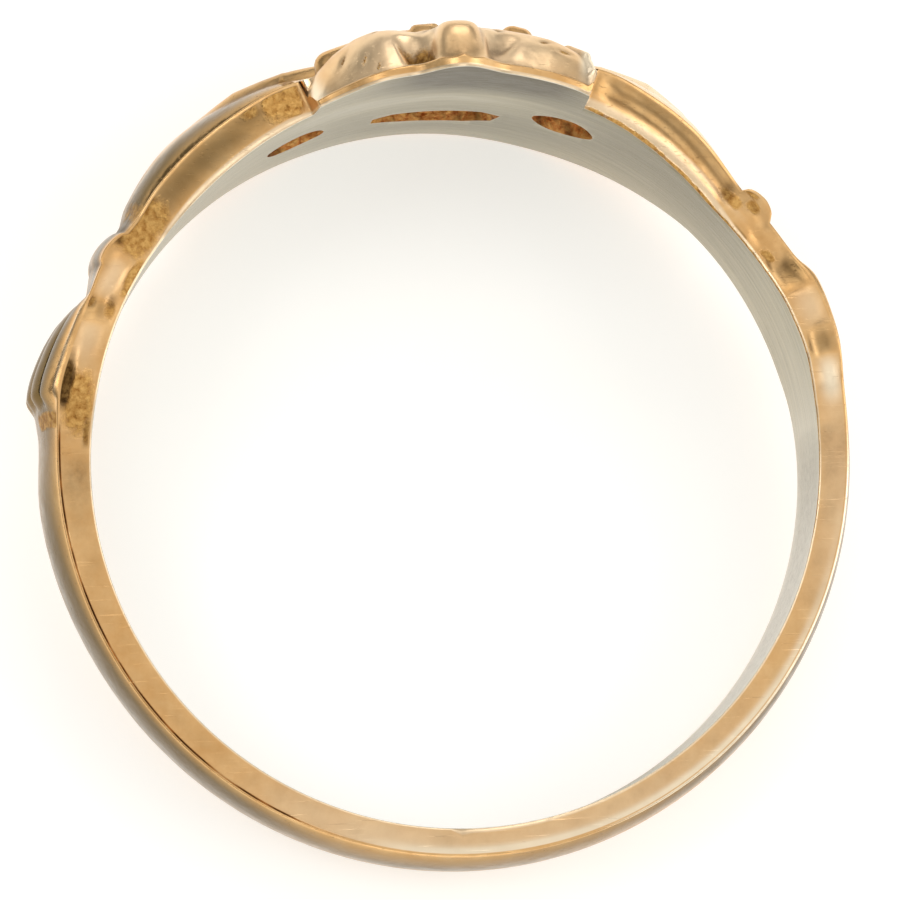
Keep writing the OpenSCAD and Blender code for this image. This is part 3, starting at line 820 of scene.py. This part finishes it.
# A Mix node takes its share at socket 0. Its sockets 6 and 7 are colours, and 2 and 3 plain numbers.
MIXED = {"out": 2, "data_type": "RGBA"}          # settings of a Mix node for two colours
NOISE_SPAN = {"From Min": 0.3, "From Max": 0.7}  # where most of a noise's values lie
grain = add(g, "ShaderNodeTexNoise", {"Vector": in_ring, "Scale": 6.0, "Detail": 4.0, "Roughness": 0.62})
blotch = add(g, "ShaderNodeTexNoise", {"Vector": in_ring, "Scale": 2.6, "Detail": 2.0})
unworked = add(g, "ShaderNodeMath", {0: mask["cast"], 1: mask["cut"]}, operation="MAXIMUM")
uneven = add(g, "ShaderNodeMath", {0: grain, 1: blotch}, operation="ADD")
ragged = add(g, "ShaderNodeMath", {0: unworked, 1: uneven}, operation="MULTIPLY")
rough_mix = add(g, "ShaderNodeMapRange", {"Value": ragged, "From Min": 0.40, "From Max": 0.72})
ground = add(g, "ShaderNodeMix", {0: mask["cut"], 6: COLOURS["cast low"], 7: COLOURS["cut low"]}, **MIXED)
speckle = add(g, "ShaderNodeMapRange", {"Value": grain, "From Min": 0.35, "From Max": 0.65})
casting = add(g, "ShaderNodeMix", {0: speckle, 6: ground, 7: COLOURS["cast high"]}, **MIXED)

# %% [markdown]
# ### Polish, painted highlights and shade
# The worn polish changes shade in clouds about a millimetre wide, with a finer mottling in them.
# The finger hole is painted nearly silver, a painted reflection that stands in for the grazing
# reflection of its wall, and it is brushed round the finger. Both take the same two steps of
# painted light, toward their own dull shade and pale highlight.

# %% Polish, painted highlights and shade
cloud = add(g, "ShaderNodeTexNoise", {"Vector": in_ring, "Scale": 0.9, "Detail": 7.0, "Roughness": 0.68})
brushed_at = add(g, "ShaderNodeMapping", {"Vector": in_ring, "Scale": (0.3, 0.3, 13.0)})
brushed = add(g, "ShaderNodeTexNoise", {"Vector": brushed_at, "Scale": 1.0, "Detail": 5.0, "Roughness": 0.6})
# Tones under 0 mix in painted shade, tones over 0 painted highlights.
painted_shade_and_highlight = {name: add(g, "ShaderNodeMath", {0: mask["tone"], 1: sign}, operation="MULTIPLY", use_clamp=True)
        for name, sign in ((" dull", -1.0), (" pale", 1.0))}
shades = {}
for metal, pattern in (("polish", cloud), ("bore", brushed)):
    varied = add(g, "ShaderNodeMapRange", {"Value": pattern, **NOISE_SPAN})
    low, high = COLOURS[metal + " low"], COLOURS[metal + " high"]
    shade = add(g, "ShaderNodeMix", {0: varied, 6: low, 7: high}, **MIXED)
    for name, amount in painted_shade_and_highlight.items():
        shade = add(g, "ShaderNodeMix", {0: amount, 6: shade, 7: COLOURS[metal + name]}, **MIXED)
    shades[metal] = shade
outside = add(g, "ShaderNodeMix", {0: rough_mix, 6: shades["polish"], 7: casting}, **MIXED)
bore_mix = add(g, "ShaderNodeMath", {0: in_bore, 1: rough_mix}, operation="SUBTRACT", use_clamp=True)
clean = add(g, "ShaderNodeMix", {0: bore_mix, 6: outside, 7: shades["bore"]}, **MIXED)

# %% [markdown]
# ### Dirt and painted shade
# A dark brown sits in the roots between the forms, in the pits, in the openings, in the flutes'
# valleys and in the dark recess of one cuff: partly old dirt, partly painted shade. The grain breaks
# it up, and single pores of the rough casting hold a speck of dirt each.

# %% Dirt and painted shade
roots = add(g, "ShaderNodeMath", {0: mask["hollow"], 1: 0.7}, operation="MULTIPLY")
hollow_dirt_and_shade = add(g, "ShaderNodeMath", {0: mask["dark"], 1: roots}, operation="MAXIMUM")
shadowy = add(g, "ShaderNodeMapRange", {"Value": blotch, "From Min": 0.48, "From Max": 0.66, "To Max": 0.7})
# The walls of the openings get a blotchy painted shade.
in_openings = add(g, "ShaderNodeMath", {0: mask["cut"], 1: shadowy}, operation="MULTIPLY")
hollow_dirt_and_shade = add(g, "ShaderNodeMath", {0: hollow_dirt_and_shade, 1: in_openings}, operation="MAXIMUM")
broken_up = add(g, "ShaderNodeMapRange", {"Value": grain, "From Min": 0.3, "From Max": 0.6,
                "To Min": 1.0, "To Max": 0.7})
hollow_dirt_and_shade = add(g, "ShaderNodeMath", {0: hollow_dirt_and_shade, 1: broken_up}, operation="MULTIPLY", use_clamp=True)
specks = add(g, "ShaderNodeMapRange", {"Value": grain, "From Min": 0.42, "From Max": 0.34, "To Max": 0.3})
pores = add(g, "ShaderNodeMath", {0: rough_mix, 1: specks}, operation="MULTIPLY")
dirt_and_shade = add(g, "ShaderNodeMath", {0: hollow_dirt_and_shade, 1: pores}, operation="MAXIMUM")
coloured = add(g, "ShaderNodeMix", {0: dirt_and_shade, 6: clean, 7: COLOURS["dirt_and_shade"]}, **MIXED)
g.links.new(coloured, shader.inputs["Base Color"])

# %% [markdown]
# ### Gloss
# Handling smudges the polish, so its roughness wanders between two values, low on the front and
# higher on the flat sides. The rough casting, the brushed finger hole and the places of dirt and
# painted shade then take over in turn, each with one value of its own.

# %% Roughness
SATIN, DULL = (0.16, 0.28), (0.32, 0.44)  # the polished front and the flat sides: lowest and highest
ROUGH_CAST, BRUSHED, DIRTY = 0.5, 0.30, 0.65
smudge = add(g, "ShaderNodeTexNoise", {"Vector": in_ring, "Scale": 2.3, "Detail": 5.0})
satin, dull = (add(g, "ShaderNodeMapRange", {"Value": smudge, **NOISE_SPAN, "To Min": low, "To Max": high})
               for low, high in (SATIN, DULL))
roughness = add(g, "ShaderNodeMix", {0: mask["front"], 2: dull, 3: satin}, data_type="FLOAT")
for amount, finish in ((rough_mix, ROUGH_CAST), (bore_mix, BRUSHED), (dirt_and_shade, DIRTY)):
    roughness = add(g, "ShaderNodeMix", {0: amount, 2: roughness, 3: finish}, data_type="FLOAT")
g.links.new(roughness, shader.inputs["Roughness"])

# %% [markdown]
# ### Relief too fine for the mesh
# Brushed lines run round the finger hole about 0.1 mm apart, coarser than the real ones, which
# would be lost at this size. The polish wavers a little, the casting is grainy, and a few fine
# scratches cross the worn faces at two slants.

# %% Bump
WOBBLE, GRIT, LINES, SCRATCH = 0.028, 0.045, 0.016, -0.006  # depths in mm; a scratch goes in
wobble = add(g, "ShaderNodeTexNoise", {"Vector": in_ring, "Scale": 1.5, "Detail": 2.5})
lines = add(g, "ShaderNodeMath", {0: brushed, 1: bore_mix}, operation="MULTIPLY")
grit = add(g, "ShaderNodeMath", {0: grain, 1: rough_mix}, operation="MULTIPLY")
scratch = 0.0
for slant, stretch in ((0.5, 20.0), (-0.9, 26.0)):
    at = add(g, "ShaderNodeMapping", {"Vector": in_ring, "Rotation": (slant, slant * 0.7, slant),
             "Scale": (0.5, stretch, stretch * 0.6)})
    line = add(g, "ShaderNodeTexNoise", {"Vector": at, "Scale": 1.0, "Detail": 2.0})
    line = add(g, "ShaderNodeMapRange", {"Value": line, "From Min": 0.67, "From Max": 0.76})
    scratch = add(g, "ShaderNodeMath", {0: line, 1: scratch}, operation="MAXIMUM")
height = add(g, "ShaderNodeMath", {0: wobble, 1: WOBBLE}, operation="MULTIPLY")
for part, depth in ((grit, GRIT), (lines, LINES), (scratch, SCRATCH)):
    height = add(g, "ShaderNodeMath", {0: part, 1: depth, 2: height}, operation="MULTIPLY_ADD")
g.links.new(add(g, "ShaderNodeBump", {"Height": height, "Distance": 0.001}), shader.inputs["Normal"])
print(len(g.nodes), "nodes in the gold")

# %% [markdown]
# ## Wrapping the strip, with Geometry Nodes
# A rule makes a ring of the strip: arc becomes an angle and rise a radius. The same tree adds the
# cuffs' flutes, which repeat across the band, and the grain of the rough casting, wraps the strip
# and the cutters alike, and cuts the openings. Its sizes are named inputs, so another finger size
# or another number of flutes is one changed value.

# %% Sockets of a tree
def sockets(tree, rows):
    """Gives a tree its inputs, rows of (name, kind), and one geometry output."""
    for name, kind in rows:
        tree.interface.new_socket(name, in_out="INPUT", socket_type="NodeSocket" + kind)
    tree.interface.new_socket("Geometry", in_out="OUTPUT", socket_type="NodeSocketGeometry")
    return add(tree, "NodeGroupInput").node.outputs


# %% Tree of the wrap
wrap = bpy.data.node_groups.new("wrap round the finger", "GeometryNodeTree")
given = sockets(wrap, [("Geometry", "Geometry"), ("Finger radius", "Float"), ("Lean", "Float"),
                       ("Middle", "Vector"), ("Grain", "Float")])
noise = add(wrap, "ShaderNodeTexNoise", {"Vector": add(wrap, "GeometryNodeInputPosition"), "W": 4.0,
            "Scale": 5.0, "Detail": 3.0}, noise_dimensions="4D")  # W is its fixed seed
centred = add(wrap, "ShaderNodeMath", {0: noise, 1: 0.5}, operation="SUBTRACT")
cast_here = add(wrap, "GeometryNodeInputNamedAttribute", {"Name": "cast"}, data_type="FLOAT")
amount = add(wrap, "ShaderNodeMath", {0: cast_here, 1: given["Grain"]}, operation="MULTIPLY")
amount = add(wrap, "ShaderNodeMath", {0: centred, 1: amount}, operation="MULTIPLY")
outward = add(wrap, "GeometryNodeInputNormal")
push = add(wrap, "ShaderNodeVectorMath", {0: outward, "Scale": amount}, operation="SCALE")
grained = add(wrap, "GeometryNodeSetPosition", {"Geometry": given["Geometry"], "Offset": push})
place_in = add(wrap, "ShaderNodeSeparateXYZ", {0: add(wrap, "GeometryNodeInputPosition")})
arc_in, rise_in, across_in = place_in.node.outputs
angle = add(wrap, "ShaderNodeMath", {0: arc_in, 1: given["Finger radius"]}, operation="DIVIDE")
radius = add(wrap, "ShaderNodeMath", {0: rise_in, 1: given["Finger radius"]}, operation="ADD")
x, y = (add(wrap, "ShaderNodeMath", {0: radius, 1: add(wrap, "ShaderNodeMath", {0: angle}, operation=way)},
            operation="MULTIPLY") for way in ("SINE", "COSINE"))
round_it = add(wrap, "ShaderNodeCombineXYZ", {0: x, 1: y, 2: across_in})
leaned = add(wrap, "ShaderNodeVectorRotate", {"Vector": round_it, "Angle": given["Lean"]},
             rotation_type="X_AXIS")
moved = add(wrap, "ShaderNodeVectorMath", {0: leaned, 1: given["Middle"]}, operation="ADD")
metres = add(wrap, "ShaderNodeVectorMath", {0: moved, "Scale": 0.001}, operation="SCALE")
placed = add(wrap, "GeometryNodeSetPosition", {"Geometry": grained, "Position": metres})
add(wrap, "NodeGroupOutput", {"Geometry": placed})

# %% Tree of the casting: the flutes
FLUTE_PROFILE = [(0.14, 0.70), (0.5, 1.0), (0.86, 0.70)]  # between two valleys at FLUTE_VALLEY
FLUTE_VALLEY = 0.15
ct = bpy.data.node_groups.new("casting from a strip", "GeometryNodeTree")
given = sockets(ct, [("Geometry", "Geometry"), ("Cutters", "Object"), ("Gold", "Material"),
                     ("Finger radius", "Float"), ("Lean", "Float"), ("Middle", "Vector"), ("Flutes", "Float"),
                     ("Cuff start", "Float"), ("Cuff end", "Float"), ("Grain", "Float")])
here = {key: add(ct, "GeometryNodeInputNamedAttribute", {"Name": key}, data_type="FLOAT")
        for key in ("cuff_turn", "cuff_rise", "over", "front", "hollow")}
counted = add(ct, "ShaderNodeMath", {0: here["over"], 1: given["Flutes"]}, operation="MULTIPLY")
cell = add(ct, "ShaderNodeMath", {0: counted}, operation="FRACT")
hump = add(ct, "ShaderNodeFloatCurve", {"Value": cell})
profile = hump.node.mapping.curves[0]
profile.points[0].location, profile.points[1].location = (0, FLUTE_VALLEY), (1, FLUTE_VALLEY)
for where in FLUTE_PROFILE:
    profile.points.new(*where)
hump.node.mapping.update()

# %% Tree of the casting: where the flutes stand
on_cuff = here["front"]
for ahead, behind, scallop, fade in ((here["cuff_turn"], given["Cuff start"], 1.4, 3.0),
                                     (given["Cuff end"], here["cuff_turn"], 2.0, 2.2)):
    inside = add(ct, "ShaderNodeMath", {0: ahead, 1: behind}, operation="SUBTRACT")
    inside = add(ct, "ShaderNodeMath", {0: hump, 1: scallop, 2: inside}, operation="MULTIPLY_ADD")
    inside = add(ct, "ShaderNodeMapRange", {"Value": inside, "From Max": fade},
                 interpolation_type="SMOOTHSTEP")
    on_cuff = add(ct, "ShaderNodeMath", {0: on_cuff, 1: inside}, operation="MULTIPLY")
flute = on_cuff
for part in (hump, here["cuff_rise"]):
    flute = add(ct, "ShaderNodeMath", {0: flute, 1: part}, operation="MULTIPLY")
fluted = add(ct, "GeometryNodeSetPosition", {"Geometry": given["Geometry"],
             "Offset": add(ct, "ShaderNodeCombineXYZ", {1: flute})})
# The flutes' valleys are painted darker as shade, through the same mask as the dirt in the roots.
valley = add(ct, "ShaderNodeMapRange", {"Value": hump, "From Min": FLUTE_VALLEY, "From Max": 0.5,
             "To Min": 0.9, "To Max": 0.0})
valley = add(ct, "ShaderNodeMath", {0: valley, 1: on_cuff}, operation="MULTIPLY")
hollow_now = add(ct, "ShaderNodeMath", {0: here["hollow"], 1: valley}, operation="MAXIMUM")
shade_and_dirt_stored = add(ct, "GeometryNodeStoreNamedAttribute", {"Geometry": fluted, "Name": "hollow",
              "Value": hollow_now}, data_type="FLOAT", domain="POINT")

# %% Tree of the casting: wrap, cut and material
wrapped_parts = []
for geometry in (shade_and_dirt_stored, add(ct, "GeometryNodeObjectInfo", {"Object": given["Cutters"]}, out="Geometry")):
    group = add(ct, "GeometryNodeGroup", node_tree=wrap)
    ct.links.new(geometry, group.node.inputs["Geometry"])
    for name in ("Finger radius", "Lean", "Middle", "Grain"):
        ct.links.new(given[name], group.node.inputs[name])
    wrapped_parts.append(group)
pierced = add(ct, "GeometryNodeMeshBoolean", {"Mesh 1": wrapped_parts[0], "Mesh 2": wrapped_parts[1]},
              operation="DIFFERENCE", solver="MANIFOLD")
smooth = add(ct, "GeometryNodeSetShadeSmooth", {"Geometry": pierced})
real = add(ct, "GeometryNodeRealizeInstances", {"Geometry": smooth})
in_gold = add(ct, "GeometryNodeSetMaterial", {"Geometry": real, "Material": given["Gold"]})
add(ct, "NodeGroupOutput", {"Geometry": in_gold})
print(len(wrap.nodes), "nodes wrap,", len(ct.nodes), "nodes make the casting")


# %% Run the tree and keep a plain mesh
def set_inputs(modifier, values):
    """Sets a modifier's inputs by their sockets' identifiers."""
    for item in modifier.node_group.interface.items_tree:
        if item.item_type == "SOCKET" and item.in_out == "INPUT" and item.name in values:
            modifier[item.identifier] = values[item.name]


SHARP = 50  # degrees between two faces past which their edge is shaded sharp
modifier = ring.modifiers.new("casting", "NODES")
modifier.node_group = ct
set_inputs(modifier, {"Cutters": plugs, "Gold": gold, "Finger radius": BORE_R, "Lean": LEAN,
                      "Middle": (MIDDLE[0], MIDDLE[1], LIFT), "Flutes": 5.0,
                      "Cuff start": 63.0, "Cuff end": 77.6, "Grain": 0.06})
depsgraph = bpy.context.evaluated_depsgraph_get()
mesh = bpy.data.meshes.new_from_object(ring.evaluated_get(depsgraph), depsgraph=depsgraph)
mesh.name = "gold_ring"
ring.modifiers.remove(modifier)
strip_mesh, ring.data = ring.data, mesh
bpy.data.meshes.remove(strip_mesh)
bpy.data.objects.remove(plugs)
mesh.set_sharp_from_angle(angle=math.radians(SHARP))

# %% Measure it
mesh.calc_loop_triangles()
corners = np.empty(len(mesh.vertices) * 3, np.float32)
mesh.vertices.foreach_get("co", corners)
corners = corners.reshape(-1, 3).astype(float)
tri = np.empty(len(mesh.loop_triangles) * 3, np.int32)
mesh.loop_triangles.foreach_get("vertices", tri)
a, b, c = (corners[tri.reshape(-1, 3)[:, n]] for n in range(3))
volume = np.einsum("ij,ij->i", a, np.cross(b, c)).sum() / 6
print(f"{len(mesh.loop_triangles)} triangles, volume {volume * 1e9:.1f} mm3")
print("box, mm:", (corners.min(0) * 1000).round(2), (corners.max(0) * 1000).round(2))
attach(ring, "root")
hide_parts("ring")

# %% [markdown]
# ## Camera
# The camera was worked out from the two edges of the finger hole in the picture: a long lens about
# 143 mm away, tipped 7 degrees up and 7 across from the hole's axis. The same numbers, turned with
# the leaning ring, put it here.

# %% Camera
PIXELS_PER_MM, DISTANCE = 39.93, 142.7
TIPS = ((-7.1, "X"), (7.3, "Y"), (2.7, "Z"))  # degrees about the ring's own axes
OFF_AXIS = 0.44                               # mm that the camera's axis passes the hole's middle
FRAME, SENSOR = 900, 36                       # pixels and mm across the picture
tip_x, tip_y, tip_z = (Matrix.Rotation(math.radians(tip), 3, axis) for tip, axis in TIPS)
tipped = tip_x @ tip_y @ tip_z
leaning = Matrix.Rotation(LEAN, 3, "X")
spot = leaning @ (tipped.transposed() @ Vector((0, OFF_AXIS, DISTANCE))) + Vector((*MIDDLE, LIFT))
camera = bpy.data.objects.new("camera", bpy.data.cameras.new("camera"))
camera.data.sensor_width = SENSOR
camera.data.lens = SENSOR * PIXELS_PER_MM * DISTANCE / FRAME
camera.data.clip_start, camera.data.clip_end = 0.01, 5
camera.matrix_world = Matrix.Translation(spot * 0.001) @ (leaning @ tipped.transposed()).to_4x4()
bpy.context.scene.collection.objects.link(camera)
bpy.context.scene.camera = camera
print(f"lens {camera.data.lens:.1f} mm, camera {spot.z:.0f} mm above the floor")

# %% [markdown]
# ## Floor and light
# The ring lies on a sheet of white acrylic that is lit a little from below, as a photographer does
# to lose the shadows of small things. Round it stands a light tent: pale overhead, greyer toward
# the table, with a grey card on the left, so that the domed faces of the gold show a darker band
# between their bright edges.

# %% Floor
acrylic = bpy.data.materials.new("white_acrylic_lit_from_below")
acrylic.use_nodes = True
acrylic_shader = acrylic.node_tree.nodes["Principled BSDF"]
for socket, value in (("Base Color", srgb("#D6D6D4")), ("Roughness", 0.9), ("Specular IOR Level", 0.0),
                      ("Emission Color", srgb("#FFFEFB")), ("Emission Strength", 0.50)):
    acrylic_shader.inputs[socket].default_value = value
HALF = 0.6  # half of the sheet's width, in metres
sheet = [(-HALF, -HALF, 0), (HALF, -HALF, 0), (HALF, HALF, 0), (-HALF, HALF, 0)]
floor_mesh = bpy.data.meshes.new("floor")
floor_mesh.from_pydata(sheet, [], [(0, 1, 2, 3)])
floor_mesh.materials.append(acrylic)
floor = bpy.data.objects.new("floor", floor_mesh)
bpy.context.scene.collection.objects.link(floor)

# %% Lamps
LAMPS = [  # name, place in mm, size in mm, watts
    ("left tent lamp", (-200, 40, 230), 150, 0.16), ("right tent lamp", (260, -20, 150), 260, 0.26),
    ("back tent lamp", (40, 260, 190), 200, 0.16), ("front tent lamp", (-20, -260, 120), 200, 0.12)]
for name, at, size, watts in LAMPS:
    data = bpy.data.lights.new(name, "AREA")
    data.shape, data.size, data.energy = "DISK", size / 1000, watts
    lamp = bpy.data.objects.new(name, data)
    lamp.location = Vector(at) / 1000
    lamp.rotation_mode = "QUATERNION"
    lamp.rotation_quaternion = Vector(at).to_track_quat("Z", "Y")
    bpy.context.scene.collection.objects.link(lamp)

# %% Light tent
TENT = [(0.0, "#C9C9C9"), (0.06, "#9C9FA0"), (0.30, "#A9AAA8"), (0.55, "#E2E1DD"), (0.80, "#EDEAE4"),
        (1.0, "#E6E3DD")]                     # height in the tent, shade
CARD, CARD_WAY = "#50524B", (-0.95, -0.3, 0.0)  # the grey card, and where it stands
world = bpy.data.worlds.new("light tent")
world.use_nodes = True
bpy.context.scene.world = world
w = world.node_tree
way = add(w, "ShaderNodeTexCoord", out="Generated")
upward = add(w, "ShaderNodeSeparateXYZ", {0: way}, out="Z")
tent = add(w, "ShaderNodeValToRGB", {"Fac": upward})
ramp = tent.node.color_ramp
while len(ramp.elements) < len(TENT):
    ramp.elements.new(0.5)
for element, (place, code) in zip(ramp.elements, TENT):
    element.position, element.color = place, srgb(code)
facing = add(w, "ShaderNodeVectorMath", {0: way, 1: CARD_WAY}, out="Value", operation="DOT_PRODUCT")
card_width = add(w, "ShaderNodeMapRange", {"Value": facing, "From Min": 0.15, "From Max": 0.7})
card_height = add(w, "ShaderNodeMapRange", {"Value": upward, "From Min": 0.75, "From Max": 0.35,
                  "To Max": 0.7})
card = add(w, "ShaderNodeMath", {0: card_width, 1: card_height}, operation="MULTIPLY")
tent = add(w, "ShaderNodeMix", {0: card, 6: tent, 7: srgb(CARD)}, **MIXED)
w.links.new(tent, w.nodes["Background"].inputs["Color"])
w.nodes["Background"].inputs["Strength"].default_value = 1.0
bpy.context.scene.view_settings.view_transform = "Standard"
